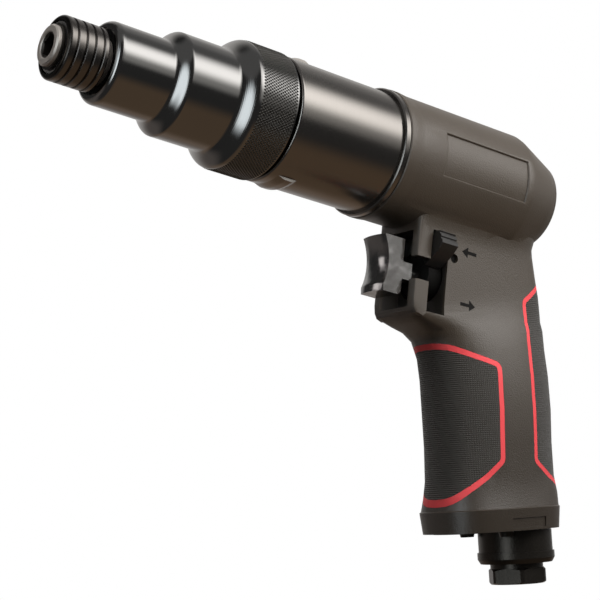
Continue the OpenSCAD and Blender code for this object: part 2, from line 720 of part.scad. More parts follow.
module inlet_bushing() color("dimgray") in_handle() difference() {
    hex_edge = 1;
    hex_turn = 56.5;
    union() {
        handle_post(shank_r, neck_low, shank_top - 0.2);
        handle_post(neck_r, neck_low - 0.1, lip_low);
        intersection() {
            translate([0, 0, hex_low]) rotate([0, 0, hex_turn])
                cylinder(d = inlet_af / cos(30), h = neck_low - hex_low, $fn = 6);
            translate([0, 0, hex_low]) rotate_extrude($fn = round_fn) polygon([
                [0, 0], [inlet_af / 2, 0], [inlet_af / 2 + hex_edge, 0.6],
                [inlet_af / 2 + hex_edge, neck_low - hex_low - 0.6], [inlet_af / 2, neck_low - hex_low],
                [0, neck_low - hex_low]]);
        }
    }
    handle_post(inlet_r, hex_low - 1, hex_low + thread_len);
    handle_post(screen_r + seat_fit, hex_low, hex_low + thread_len + room + screen_t + seat_fit);
    handle_post(shank_hole_r, hex_low, shank_top);
}
module inlet_screen() color("khaki") in_handle() difference() {
    low = hex_low + thread_len + room;
    mesh_pitch = screen_r * 0.3;
    handle_post(screen_r, low, low + screen_t);
    for (ix = [-2:2], iy = [-2:2]) if (norm([ix, iy]) < 2.5)
        translate([ix * mesh_pitch, iy * mesh_pitch, low - 1]) cylinder(r = 0.55, h = 2 + screen_t, $fn = 16);
}

module trigger() color("black") on_trigger() difference() {
    hollow_r = 19;
    union() {
        translate([-trigger_rear_s, 0, 0]) rotate([90, 0, 0]) linear_extrude(trigger_w, center = true)
            difference() {
                polygon([
                    [0, -trigger_h / 2 + 1], [1, -trigger_h / 2], [trigger_d - 1.2, -trigger_h / 2],
                    [trigger_d + 0.2, trigger_h / 2 - 0.4], [trigger_d - 0.4, trigger_h / 2],
                    [0, trigger_h / 2]]);
                translate([trigger_d + hollow_r - 2.4, 0]) circle(r = hollow_r, $fn = 256);
            }
        translate([-trigger_rear_s - tongue_len, -tongue_w / 2, -tongue_hh - tongue_low])
            cube([tongue_len + 1, tongue_w, 2 * tongue_hh]);
    }
    shaft(rod_r + seat_fit, trigger_rear_s - 4, trigger_rear_s + tongue_len + 1);
    cross_pin_hole();
}
module cross_pin_hole() translate([-trigger_rear_s - 1, -trigger_w, 0]) rotate([-90, 0, 0])
    cylinder(r = 1, h = trigger_w + rod_r + 1.5, $fn = round_fn);
module trigger_rod() color("silver") on_trigger() difference() {
    shaft(rod_r, trigger_rear_s - 3.9, seat_s - 0.1);
    cross_pin_hole();
    shaft_groove();
}
seal_at = 0.6;
module shaft_groove() tube(rod_r + 1, rod_r - 0.6, valve_bush_end - 3.2, valve_bush_end - 1.8);
module trigger_pin() color("silver") on_trigger() translate([-trigger_rear_s - 1, -trigger_w / 2 + 0.2, 0])
    rotate([-90, 0, 0]) cylinder(r = 1 - seat_fit / 2, h = trigger_w / 2 + rod_r + 1, $fn = round_fn);
module rod_seal() color("black") on_trigger()
    tube(rod_r, rod_r - seal_at + seat_fit, valve_bush_end - 3.1, valve_bush_end - 1.9);
module throttle_valve() color("tan") on_trigger() turned([
    [0, seat_s], [rod_r, seat_s], [rod_r, poppet_s], [poppet_r, poppet_s], [poppet_r, poppet_s + poppet_t],
    [boss_r, poppet_s + poppet_t], [boss_r, poppet_s + poppet_t + boss_len],
    [0, poppet_s + poppet_t + boss_len]]);

module reverse_valve() color("darkgray") on_trigger() difference() {
    union() {
        shaft(hub_r, hub_s, hub_end);
        shaft(spool_r, hub_end - 0.1, valve_bush_end - 0.2);
    }
    shaft(rod_r + run_fit, hub_s - 1, valve_bush_end + 1);
    lever_frame() translate([-peg_back - peg_w / 2, -peg_h / 2, rod_r]) cube([peg_w, peg_h, hub_r]);
    for (turn = [0, 180], at = port_stations) translate([-at, 0, 0]) rotate([turn + 90 - lever_turn / 2, 0, 0])
        translate([0, 0, spool_r + 0.6]) cube([2 * port_r, spool_r * 1.4, 4], center = true);
}
// Local z runs out along the lever arm from the trigger axis
lever_s = slot_s + slot_w / 2;
peg_w = 2.8;
peg_h = 4.4;
peg_back = 0.6;
module lever_frame() translate([-lever_s, 0, 0]) rotate([lever_turn / 2 - 90, 0, 0]) children();
lever_reach = 18.2;
module reverse_lever() color("black") on_trigger() lever_frame() {
    difference() {
        union() {
            translate([-peg_back - peg_w / 2 + seat_fit, -peg_h / 2 + seat_fit, rod_r + 0.4])
                cube([peg_w - 2 * seat_fit, peg_h - 2 * seat_fit, hub_r - rod_r]);
            rotate([90, 0, 90]) linear_extrude(slot_w - 2 * room, center = true) polygon([
                [-2.4, hub_r + 0.3], [2.2, hub_r + 0.3], [2.2, lever_reach - 4], [1.4, lever_reach - 0.8],
                [-3.1, lever_reach + 0.2], [-4.6, lever_reach - 1.8], [-3.7, lever_reach - 4.8]]);
        }
        for (i = [0:1]) translate([0, -2.4 + 1.9 * i, lever_reach + 0.1 - 0.4 * i]) rotate([0, 90, 0])
            cylinder(r = 0.5, h = slot_w, center = true, $fn = 24);
    }
}

module spindle() color("silver") difference() {
    turned([
        [0, 0], [holder_r - 0.5, 0], [holder_r, 0.5], [holder_r, clip_s], [holder_r - clip_depth, clip_s],
        [holder_r - clip_depth, clip_s + clip_t], [holder_r, clip_s + clip_t],
        [holder_r, land_s + land_len + seat_fit], [journal_r, land_s + land_len + seat_fit],
        [journal_r, jaw_s], [jaw_r - 1.6, jaw_s], [jaw_r - 1.6, driven_s - seat_fit],
        [pilot_r, driven_s - seat_fit], [pilot_r, driven_s + pilot_len], [0, driven_s + pilot_len]]);
    on_spindle() translate([0, 0, -1])
        cylinder(d = (bit_af + 0.1) / cos(30), h = socket_depth + 1, $fn = 6);
    turned([[0, -1], [bit_af / 2 + 2, -1], [bit_af / 2 + 1, 0], [bit_af / 2 + 0.2, 0.8], [0, 0.8]]);
    translate([-bit_ball_s, 0, 0]) cylinder(r = bit_ball_r + seat_fit, h = holder_r + 1, $fn = round_fn);
}
module bit_ball() color("silver") translate([-bit_ball_s, 0, bit_ball_at]) sphere(r = bit_ball_r, $fn = 48);
module spring_stop() color("gray")
    tube(chamber_r - room, holder_r + seat_fit, stop_s, stop_s + stop_t);
module retaining_ring() color("silver") difference() {
    tube(holder_r + 0.7, holder_r - clip_depth + seat_fit, clip_s + seat_fit, clip_s + clip_t - seat_fit);
    translate([-2 * clip_s - clip_t, -1.6, 0]) cube([2 * clip_s + 2 * clip_t, 3.2, sleeve_r]);
}
module sleeve_spring() color("silver") on_spindle() translate([0, 0, stop_s + stop_t + seat_fit])
    coil((chamber_r + holder_r) / 2, sleeve_wire_r, land_s - stop_s - stop_t - 2 * seat_fit, 4);
module chuck_sleeve() {
    bands = [
        for (i = [1:sleeve_bands - 1]) let (at = sleeve_inset + i * band_pitch)
            each [[sleeve_r, at - 0.45], [sleeve_r - band_depth, at - 0.2],
                  [sleeve_r - band_depth, at + 0.2], [sleeve_r, at + 0.45]]
    ];
    color("black") turned(concat(
        [[chamber_r, sleeve_inset], [chamber_r + 0.4, sleeve_inset]],
        shoulder(chamber_r + 0.5, sleeve_r, sleeve_inset, sleeve_inset + 1.2),
        bands,
        [[sleeve_r, sleeve_end - 0.4], [sleeve_r - 0.4, sleeve_end], [relief_r, sleeve_end],
         [relief_r, land_s + land_len], [holder_r + run_fit, land_s + land_len],
         [holder_r + run_fit, land_s], [chamber_r, land_s]]));
}

module ball_pockets() {
    for (i = [0:clutch_ball_count - 1]) on_spindle() rotate([0, 0, 360 * i / clutch_ball_count])
        translate([clutch_ball_at, 0, driven_s + driven_t + jaw_gap / 2]) sphere(r = clutch_ball_r + seat_fit);
}
module driven_jaw() color("gray") difference() {
    tube(jaw_r, pilot_r + seat_fit, driven_s, driven_s + driven_t);
    ball_pockets($fn = 48);
}
module clutch_balls() color("silver") for (i = [0:clutch_ball_count - 1]) on_spindle()
    rotate([0, 0, 360 * i / clutch_ball_count])
        translate([clutch_ball_at, 0, driven_s + driven_t + jaw_gap / 2]) sphere(r = clutch_ball_r, $fn = 48);
module driving_jaw() color("gray") difference() {
    shaft(jaw_r, drive_s, drive_s + drive_t);
    shaft(pilot_r + seat_fit, drive_s - 1, driven_s + pilot_len + 0.2);
    shaft(shaft_r + seat_fit, driven_s + pilot_len + 0.1, drive_s + drive_t + 1);
    ball_pockets($fn = 48);
}
module clutch_spring() color("steelblue") on_spindle() translate([0, 0, clutch_spring_s])
    coil(jaw_r - 3.6, clutch_wire_r, nut_s - clutch_spring_s - seat_fit, 3);
module adjusting_nut() color("gray") on_spindle() translate([0, 0, nut_s]) difference() {
    cylinder(r = nut_r, h = nut_t, $fn = round_fn);
    translate([0, 0, -1]) cylinder(r = shaft_r + seat_fit, h = nut_t + 2, $fn = round_fn);
    notches = 6;
    for (i = [0:notches - 1]) rotate([0, 0, 360 * i / notches]) translate([nut_r, 0, nut_t])
        cube([3, 2.5, 4], center = true);
}
module planet_carrier() color("darkgray") difference() {
    union() {
        shaft(shaft_r, driven_s + pilot_len + 0.3, carrier_s + 0.1);
        shaft(orbit_r + planet_pin_r + 1.2, carrier_s, carrier_s + carrier_t);
    }
    pin_each() translate([0, 0, carrier_s - 1])
        cylinder(r = planet_pin_r + seat_fit / 2, h = carrier_t + 2, $fn = round_fn);
}
module pin_each() for (i = [0:planet_count - 1]) on_spindle() rotate([0, 0, 360 * i / planet_count])
    translate([orbit_r, 0, 0]) children();
module planet_pins() color("silver") pin_each() translate([0, 0, carrier_s + 0.1])
    cylinder(r = planet_pin_r, h = carrier_t + gear_width + pin_proud, $fn = round_fn);
module planet_gear(i) color("gray") on_spindle() rotate([0, 0, 360 * i / planet_count])
    translate([orbit_r, 0, planet_s]) rotate([0, 0, 180 / planet_teeth]) linear_extrude(gear_width)
        difference() {
            gear_outline(planet_teeth, planet_pitch_r + addendum, planet_pitch_r - dedendum, backlash);
            circle(r = planet_pin_r + run_fit, $fn = round_fn);
        }
module planet_gear_1() planet_gear(0);
module planet_gear_2() planet_gear(1);
module planet_gear_3() planet_gear(2);

module rotor() color("gray") difference() {
    union() {
        on_spindle() translate([0, 0, sun_s]) linear_extrude(sun_len)
            gear_outline(sun_teeth, sun_pitch_r + addendum, sun_pitch_r - dedendum, backlash);
        shaft(front_shaft_r, sun_s + sun_len - 0.1, cylinder_s + 1);
        shaft(rotor_r, cylinder_s + room, rear_plate_s - room);
        shaft(rear_shaft_r, rear_plate_s - 1, motor_end);
    }
    vane_each() translate([vane_root_r - 0.1, -vane_t / 2 - seat_fit, cylinder_s])
        cube([rotor_r, vane_t + 2 * seat_fit, cylinder_len]);
}
module vane_each() for (i = [0:vane_count - 1]) on_spindle() rotate([0, 0, 360 * i / vane_count]) children();
module rotor_vanes() color("saddlebrown") vane_each()
    translate([vane_root_r, -vane_t / 2, cylinder_s + room + 0.1])
        cube([rotor_r - vane_root_r, vane_t, cylinder_len - 2 * room - 0.2]);

module exhaust_deflector() color("dimgray") in_handle() difference() {
    wall = 1.4;
    rotate_extrude($fn = round_fn) polygon([
        [shank_r + run_fit, lip_low + 0.05], [ring_lip_r - 0.9, lip_low + 0.05],
        [ring_lip_r - 0.2, lip_low + 1.2], [ring_lip_r, lip_low + 1.6], [ring_lip_r, lip_top],
        [collar_out_r, lip_top], [collar_out_r, collar_top], [collar_out_r - wall, collar_top],
        [collar_out_r - wall, lip_top], [shank_r + run_fit, lip_top]]);
    window_fins = 4;
    for (i = [0:window_fins - 1]) rotate([0, 0, 141 + 26 * i])
        translate([collar_out_r - wall / 2, 0, (lip_top + collar_top) / 2])
            cube([2 * wall, 4, collar_top - lip_top - 2], center = true);
}

motor_housing();
front_grip();
front_trim();
rear_grip();
rear_trim();
gear_case();
case_gasket();
clutch_housing();
nose_bush();
ring_gear();
gear_spacer();
carrier_bearing();
front_end_plate();
rear_end_plate();
front_bearing();
rear_bearing();
motor_cylinder();
valve_bush();
valve_seat();
valve_spring();
bush_pin();
base_plate();
base_screws();
muffler();
inlet_bushing();
inlet_screen();
trigger();
trigger_rod();
trigger_pin();
rod_seal();
throttle_valve();
reverse_valve();
reverse_lever();
spindle();
driven_jaw();
clutch_balls();
driving_jaw();
clutch_spring();
adjusting_nut();
planet_carrier();
planet_pins();
bit_ball();
sleeve_spring();
spring_stop();
retaining_ring();
rotor();
rotor_vanes();
planet_gear_1();
planet_gear_2();
planet_gear_3();
chuck_sleeve();
exhaust_deflector();
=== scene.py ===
import bpy
import bmesh
import json
import math
from mathutils import Matrix, Vector


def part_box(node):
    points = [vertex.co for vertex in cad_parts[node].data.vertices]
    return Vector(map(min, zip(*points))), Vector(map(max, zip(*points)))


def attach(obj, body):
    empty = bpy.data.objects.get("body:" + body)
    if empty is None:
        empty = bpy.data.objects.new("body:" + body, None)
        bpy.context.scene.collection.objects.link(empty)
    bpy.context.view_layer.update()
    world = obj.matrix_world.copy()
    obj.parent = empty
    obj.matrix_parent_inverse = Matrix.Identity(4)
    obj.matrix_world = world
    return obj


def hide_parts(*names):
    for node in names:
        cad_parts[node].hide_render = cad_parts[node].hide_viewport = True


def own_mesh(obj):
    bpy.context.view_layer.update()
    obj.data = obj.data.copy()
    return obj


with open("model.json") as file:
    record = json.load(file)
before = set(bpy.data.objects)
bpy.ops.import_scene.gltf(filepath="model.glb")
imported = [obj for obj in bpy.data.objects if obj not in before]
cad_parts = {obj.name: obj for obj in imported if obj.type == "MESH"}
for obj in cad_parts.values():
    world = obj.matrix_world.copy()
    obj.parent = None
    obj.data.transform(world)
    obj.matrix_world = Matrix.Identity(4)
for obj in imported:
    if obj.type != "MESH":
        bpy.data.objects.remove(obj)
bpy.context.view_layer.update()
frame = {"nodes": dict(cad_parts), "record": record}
nodes = frame["nodes"]
scene = bpy.context.scene
scene.view_settings.view_transform = "Standard"
print("frame loaded with", len(nodes), "nodes")

# camera where the photographer stood: below the tool's left side, looking a little up
cameraView = {
    "place": (0.19656, 0.41691, -0.17045),
    "right": (-0.8003, 0.5909, 0.1024),
    "up": (0.2140, 0.1220, 0.9692),
    "lens": 102,
    "sensor": 36,
    "nearest": 0.01,
}


def addCamera(spec):
    data = bpy.data.cameras.new("photoCamera")
    data.lens = spec["lens"]
    data.sensor_width = spec["sensor"]
    data.clip_start = spec["nearest"]
    right = Vector(spec["right"]).normalized()
    back = right.cross(Vector(spec["up"])).normalized()
    turn = Matrix((right, back.cross(right), back)).transposed().to_4x4()
    camera = bpy.data.objects.new("photoCamera", data)
    camera.matrix_world = Matrix.Translation(spec["place"]) @ turn
    scene.collection.objects.link(camera)
    scene.camera = camera


addCamera(cameraView)
print("camera set")


# shader maths as plain expressions on sockets
class Sock:
    def __init__(self, sheet, socket):
        self.sheet = sheet
        self.socket = socket

    def math(self, operation, *others):
        return self.sheet.make("Math", {"operation": operation}, dict(enumerate((self, *others))))

    def __add__(self, other):
        return self.math("ADD", other)

    def __sub__(self, other):
        return self.math("SUBTRACT", other)

    def __rsub__(self, other):
        return self.sheet.make("Math", {"operation": "SUBTRACT"}, {0: other, 1: self})

    def __mul__(self, other):
        return self.math("MULTIPLY", other)

    __radd__ = __add__


class Sheet:
    def __init__(self, tree):
        self.tree = tree
        tree.nodes.clear()

    def make(self, kind, settings=None, sockets=None, out=0):
        node = self.tree.nodes.new("ShaderNode" + kind)
        for name, value in (settings or {}).items():
            setattr(node, name, value)
        for key, value in (sockets or {}).items():
            if isinstance(value, Sock):
                self.tree.links.new(value.socket, node.inputs[key])
            else:
                node.inputs[key].default_value = value
        return Sock(self, node.outputs[out]) if node.outputs else None

    # a Mix node has its two colours at 6 and 7, and gives the blended one at 2
    def blend(self, factor, first, second, way="MIX"):
        settings = {"data_type": "RGBA", "blend_type": way}
        return self.make("Mix", settings, {0: factor, 6: first, 7: second}, 2)

    def ramp(self, value, start, end, low=0.0, high=1.0, way="LINEAR"):
        sockets = {0: value, 1: start, 2: end, 3: low, 4: high}
        return self.make("MapRange", {"interpolation_type": way}, sockets)

    def noise(self, place, scale, detail):
        return self.make("TexNoise", None, {"Vector": place, "Scale": scale, "Detail": detail})

    def axes(self, place):
        split = self.make("SeparateXYZ", None, {0: place})
        outs = split.socket.node.outputs
        return [Sock(self, outs[i]) for i in range(3)]


def newMaterial(name):
    material = bpy.data.materials.new(name)
    material.use_nodes = True
    sheet = Sheet(material.node_tree)
    place = sheet.make("TexCoord", None, None, "Object")
    return material, sheet, place


def closeMaterial(material, sheet, sockets, height, depth):
    relief = {"Strength": 1.0, "Distance": depth, "Height": height}
    sockets["Normal"] = sheet.make("Bump", None, relief)
    shader = sheet.make("BsdfPrincipled", None, sockets)
    sheet.make("OutputMaterial", None, {0: shader})
    return material


def rgb(red, green, blue):
    return (red, green, blue, 1)


def driftTone(sheet, drift, spec):
    return sheet.blend(drift, rgb(*spec["tone"]), rgb(*spec["otherTone"]))


def driftRough(drift, spec):
    low, high = spec["rough"]
    return low + drift * (high - low)


# painted shade: the trigger's pocket is darker inside
triggerPocketShade = {"low": (-0.1470, -0.0095, -0.0540), "high": (-0.1334, 0.0097, -0.0170), "fade": 0.0006,
                 "tone": (0.012, 0.010, 0.008)}
# painted shade: the lower end of the handle is darker, where the light falls off
handleFootShade = {"low": (-0.60, -0.40, -0.40), "high": (0.30, 0.40, -0.027), "fade": 0.068,
              "tone": (0.026, 0.0195, 0.0135)}
# painted shade: the trigger's front is darker than its sides
triggerFrontShade = {"low": (-0.20, -0.0056, -0.10), "high": (-0.05, 0.0056, 0.05), "fade": 0.0004,
                "tone": (0.010, 0.0088, 0.0080)}


def insideBox(sheet, place, spec):
    share = None
    for along, low, high in zip(sheet.axes(place), spec["low"], spec["high"]):
        half = (high - low) / 2
        away = (along - (low + high) / 2).math("ABSOLUTE")
        inside = sheet.ramp(away, half, half - spec["fade"])
        share = inside if share is None else share * inside
    return share


# octaves of the slow drift of tones and of the fine grain
driftDetail = 4
grainDetail = 2


# plain finishes: two tones that drift into each other, a roughness that drifts, a fine grain
def grainFinish(name, spec):
    material, sheet, place = newMaterial(name)
    drift = sheet.noise(place, spec["driftScale"], driftDetail)
    grain = sheet.noise(place, spec["grainScale"], grainDetail)
    tone = driftTone(sheet, drift, spec)
    # painted shade: boxes of darker tone blended into the base colour
    for shadePatch in spec.get("shadePatches", ()):
        tone = sheet.blend(insideBox(sheet, place, shadePatch), tone, rgb(*shadePatch["tone"]))
    sockets = {
        "Base Color": tone,
        "Roughness": driftRough(drift, spec),
        "Metallic": spec.get("metallic", 0.0),
    }
    for key in ("Coat Weight", "Coat Roughness", "Sheen Weight", "Specular IOR Level", "IOR"):
        if key in spec:
            sockets[key] = spec[key]
    return closeMaterial(material, sheet, sockets, grain, spec["grainDepth"])


# turned steel: fine rings around the spindle axis, and painted shade inside its grooves or its socket
def turnedFinish(name, spec):
    material, sheet, place = newMaterial(name)
    x, y, z = sheet.axes(place)
    drift = sheet.noise(place, spec["driftScale"], driftDetail)
    rings = sheet.make("TexNoise", {"noise_dimensions": "1D"},
                       {"W": x, "Scale": spec["ringScale"], "Detail": grainDetail})
    tone = driftTone(sheet, drift, spec)
    # painted shade: darker tone inside the sleeve's grooves and the holder's socket
    if "grooveShadeTone" in spec:
        radius = (y * y + z * z).math("SQRT")
        grooveShade = radius.math("LESS_THAN", spec["grooveRadius"])
        tone = sheet.blend(grooveShade, tone, rgb(*spec["grooveShadeTone"]))
    sockets = {
        "Base Color": tone,
        "Roughness": driftRough(drift, spec),
        "Metallic": spec.get("metallic", 1.0),
    }
    return closeMaterial(material, sheet, sockets, rings, spec["ringDepth"])


finishes = {}
plainFinishes = {
    "composite": {"tone": (0.041, 0.0322, 0.0238), "otherTone": (0.048, 0.0380, 0.0285), "driftScale": 45,
                  "rough": (0.36, 0.43), "grainScale": 2600, "grainDepth": 0.00010,
                  "Specular IOR Level": 1.0, "shadePatches": (handleFootShade, triggerPocketShade)},
    "red_trim": {"tone": (0.60, 0.055, 0.063), "otherTone": (0.66, 0.066, 0.074), "driftScale": 120,
                 "rough": (0.44, 0.52), "grainScale": 1800, "grainDepth": 0.00004,
                 "Specular IOR Level": 0.3},
    "black_plastic": {"tone": (0.010, 0.0092, 0.0085), "otherTone": (0.015, 0.0138, 0.0128),
                      "driftScale": 90, "rough": (0.26, 0.34), "grainScale": 900, "grainDepth": 0.00003},
    "trigger_gloss": {"tone": (0.030, 0.027, 0.024), "otherTone": (0.050, 0.045, 0.041), "driftScale": 320,
                      "rough": (0.10, 0.20), "grainScale": 115, "grainDepth": 0.0006,
                      "Coat Weight": 1.0, "Coat Roughness": 0.08, "Specular IOR Level": 1.0, "IOR": 1.9,
                      "shadePatches": (triggerFrontShade,)},
    # slot_dark is near-black: painted shade on the parts in the lever slot and nose gap, and on the
    # engraved arrows
    "slot_dark": {"tone": (0.0035, 0.0032, 0.0030), "otherTone": (0.0060, 0.0055, 0.0050),
                  "driftScale": 140, "rough": (0.68, 0.82), "grainScale": 2200, "grainDepth": 0.00005,
                  "Specular IOR Level": 0.25},
    "black_metal": {"tone": (0.034, 0.0300, 0.0255), "otherTone": (0.048, 0.0425, 0.0365),
                    "driftScale": 140, "metallic": 0.80, "rough": (0.26, 0.34), "grainScale": 2200,
                    "grainDepth": 0.00005},
    "iron": {"tone": (0.20, 0.195, 0.19), "otherTone": (0.27, 0.262, 0.255), "driftScale": 110,
             "metallic": 1.0, "rough": (0.36, 0.50), "grainScale": 2600, "grainDepth": 0.00006},
    "bronze": {"tone": (0.48, 0.29, 0.12), "otherTone": (0.56, 0.36, 0.16), "driftScale": 130,
               "metallic": 1.0, "rough": (0.34, 0.48), "grainScale": 3200, "grainDepth": 0.00005},
    "seal_rubber": {"tone": (0.012, 0.012, 0.012), "otherTone": (0.020, 0.020, 0.019), "driftScale": 160,
                    "rough": (0.55, 0.70), "grainScale": 3000, "grainDepth": 0.00006},
    "vane": {"tone": (0.16, 0.085, 0.045), "otherTone": (0.22, 0.125, 0.070), "driftScale": 260,
             "rough": (0.55, 0.70), "grainScale": 2400, "grainDepth": 0.00008},
    "felt": {"tone": (0.34, 0.31, 0.24), "otherTone": (0.46, 0.42, 0.33), "driftScale": 700,
             "rough": (0.90, 1.00), "grainScale": 1600, "grainDepth": 0.0004, "Sheen Weight": 0.3},
}
for name, spec in plainFinishes.items():
    finishes[name] = grainFinish(name, spec)

turnedFinishes = {
    "dark_steel": {"tone": (0.272, 0.268, 0.262), "otherTone": (0.310, 0.303, 0.294), "driftScale": 35,
                   "rough": (0.10, 0.14), "ringScale": 5200, "ringDepth": 0.000008},
    "case_steel": {"tone": (0.272, 0.254, 0.236), "otherTone": (0.315, 0.295, 0.275), "driftScale": 30,
                   "rough": (0.18, 0.24), "ringScale": 3600, "ringDepth": 0.000014},
    "knurl_steel": {"tone": (0.092, 0.088, 0.081), "otherTone": (0.118, 0.113, 0.104), "driftScale": 60,
                    "rough": (0.50, 0.60), "ringScale": 3600, "ringDepth": 0.000014},
    "bright_steel": {"tone": (0.58, 0.57, 0.55), "otherTone": (0.66, 0.65, 0.63), "driftScale": 90,
                     "rough": (0.20, 0.30), "ringScale": 6000, "ringDepth": 0.000015},
    "tool_steel": {"tone": (0.36, 0.355, 0.345), "otherTone": (0.44, 0.43, 0.42), "driftScale": 90,
                   "rough": (0.26, 0.38), "ringScale": 5000, "ringDepth": 0.00002},
    "sleeve_black": {"tone": (0.160, 0.149, 0.138), "otherTone": (0.195, 0.182, 0.170), "driftScale": 80,
                     "rough": (0.20, 0.27), "ringScale": 4200, "ringDepth": 0.00002,
                     "grooveShadeTone": (0.030, 0.027, 0.024), "grooveRadius": 0.00942},
    "holder_steel": {"tone": (0.42, 0.385, 0.350), "otherTone": (0.50, 0.460, 0.420), "driftScale": 90,
                     "metallic": 0.6, "rough": (0.36, 0.44), "ringScale": 5200, "ringDepth": 0.00001,
                     "grooveShadeTone": (0.035, 0.030, 0.025), "grooveRadius": 0.0039},
}
for name, spec in turnedFinishes.items():
    finishes[name] = turnedFinish(name, spec)

# the handle leans back, so its ribs follow its own axis
handle = {"rake": math.radians(11), "foot": (-0.19238, 0.0, -0.1105)}
gripRubber = {
    "tone": (0.021, 0.0186, 0.0157),
    "otherTone": (0.031, 0.0276, 0.0232),
    "driftScale": 90,
    "rough": (0.55, 0.68),
    "sheen": 0.14,
    "ribPitch": 0.00066,
    "ribDepth": 0.00016,
    "dotFrom": 0.0085,
    "dotFade": 0.004,
}


def gripFinish(name, spec):
    material, sheet, place = newMaterial(name)
    foot = Vector(handle["foot"])
    leaned = sheet.make("Mapping", {"vector_type": "TEXTURE"},
                        {"Vector": place, "Location": foot, "Rotation": (0, handle["rake"], 0)})
    ahead, aside, upward = sheet.axes(leaned)
    drift = sheet.noise(place, spec["driftScale"], driftDetail)
    turnRate = 2 * math.pi / spec["ribPitch"]
    ribs = (upward * turnRate).math("SINE") * 0.5 + 0.5
    stripes = (ahead * turnRate).math("SINE") * 0.5 + 0.5
    side = aside.math("ABSOLUTE")
    dotted = sheet.ramp(side, spec["dotFrom"], spec["dotFrom"] + spec["dotFade"])
    relief = ribs * (1 - dotted * (1 - stripes))
    sockets = {
        "Base Color": driftTone(sheet, drift, spec),
        "Roughness": driftRough(drift, spec),
        "Sheen Weight": spec["sheen"],
    }
    return closeMaterial(material, sheet, sockets, relief, spec["ribDepth"])


finishes["rubber_grip"] = gripFinish("rubber_grip", gripRubber)
print("finishes made:", len(finishes))

# every node takes the finish of its slot in the record, apart from a few listed here
# painted shade: the reverse valve, bush pin, valve bush and nose bush take the near-black slot_dark, as
# the lever slot and the nose gap where they show lie in shade; the nose bush itself is bronze
nodeFinish = {"chuck_sleeve": "sleeve_black", "gear_case": "case_steel", "trigger": "trigger_gloss",
              "reverse_valve": "slot_dark", "bush_pin": "slot_dark", "valve_bush": "slot_dark",
              "nose_bush": "slot_dark", "spindle": "holder_steel", "base_screws": "black_metal"}
for entry in frame["record"]["subparts"]:
    nodeFinish.setdefault(entry["node"], entry["material_slot"])
for nodeName, node in nodes.items():
    node.data.materials.clear()
    node.data.materials.append(finishes[nodeFinish[nodeName]])
print("finishes set on", len(nodes), "nodes")


# pieces of this script: mesh in place, object at the origin
def meshObject(name, shape, material):
    mesh = bpy.data.meshes.new(name)
    shape.to_mesh(mesh)
    shape.free()
    mesh.materials.append(material)
    piece = bpy.data.objects.new(name, mesh)
    scene.collection.objects.link(piece)
    return piece


def addPiece(name, shape, finish, body, smooth=True):
    piece = meshObject(name, shape, finishes[finish])
    for face in piece.data.polygons:
        face.use_smooth = smooth
    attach(piece, body)
    return piece


# corners closer than this become one, and a rounded edge has this many steps
mergeDistance = 0.00001
roundSteps = 3


def everyElement(shape):
    return shape.verts[:] + shape.edges[:] + shape.faces[:]


def roundEdges(shape, edges, radius, clamp):
    bmesh.ops.bevel(shape, geom=edges, offset=radius, affect="EDGES", segments=roundSteps, profile=0.5,
                    material=-1, clamp_overlap=clamp)


# the trigger's front falls away a little toward both sides
def crownFront(shape, spec):
    cuts = spec["cuts"]
    for step in range(1, cuts):
        y = spec["half"] * (2 * step / cuts - 1)
        bmesh.ops.bisect_plane(shape, geom=everyElement(shape), plane_co=(0, y, 0), plane_no=(0, 1, 0))
    for vert in shape.verts:
        if vert.co.x > spec["front"]:
            vert.co.x -= spec["drop"] * (vert.co.y / spec["half"]) ** 2


# the rim of the sunk panel is rounded over
def roundRim(shape, spec):
    low, high = Vector(spec["low"]), Vector(spec["high"])

    def within(vert):
        return all(low[i] < vert.co[i] < high[i] for i in range(3))

    flat = math.radians(spec["flat"])
    verts = [v for v in shape.verts if within(v)]
    edges = [e for e in shape.edges if within(e.verts[0]) and within(e.verts[1])]
    bmesh.ops.dissolve_limit(shape, angle_limit=flat, verts=verts, edges=edges)
    rim = []
    for edge in shape.edges:
        outside = all(within(v) and v.co.yz.length > spec["outside"] for v in edge.verts)
        if outside and edge.calc_face_angle(0) > spec["sharp"]:
            rim.append(edge)
    roundEdges(shape, rim, spec["radius"], False)


# a merged copy of a node shades smoothly; its real edges stay sharp or get a small moulded radius
def smoothCopy(nodeName, spec):
    shape = bmesh.new()
    shape.from_mesh(nodes[nodeName].data)
    bmesh.ops.remove_doubles(shape, verts=shape.verts, dist=mergeDistance)
    edgeAngle = math.radians(spec["edgeAngle"])
    if "rim" in spec:
        roundRim(shape, spec["rim"])
    if "radius" in spec:
        flat = math.radians(spec["flat"])
        bmesh.ops.dissolve_limit(shape, angle_limit=flat, verts=shape.verts, edges=shape.edges)
        if "crown" in spec:
            crownFront(shape, spec["crown"])
        sharp = [e for e in shape.edges if len(e.link_faces) == 2 and e.calc_face_angle() > edgeAngle]
        roundEdges(shape, sharp, spec["radius"], True)
    for edge in shape.edges:
        edge.smooth = len(edge.link_faces) == 2 and edge.calc_face_angle() < edgeAngle
    finish = nodeFinish[nodeName]
    piece = addPiece(spec["piece"], shape, finish, spec["body"])
    if "radius" in spec:
        piece.modifiers.new("flatFaces", "WEIGHTED_NORMAL").keep_sharp = True
    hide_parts(nodeName)
    return piece


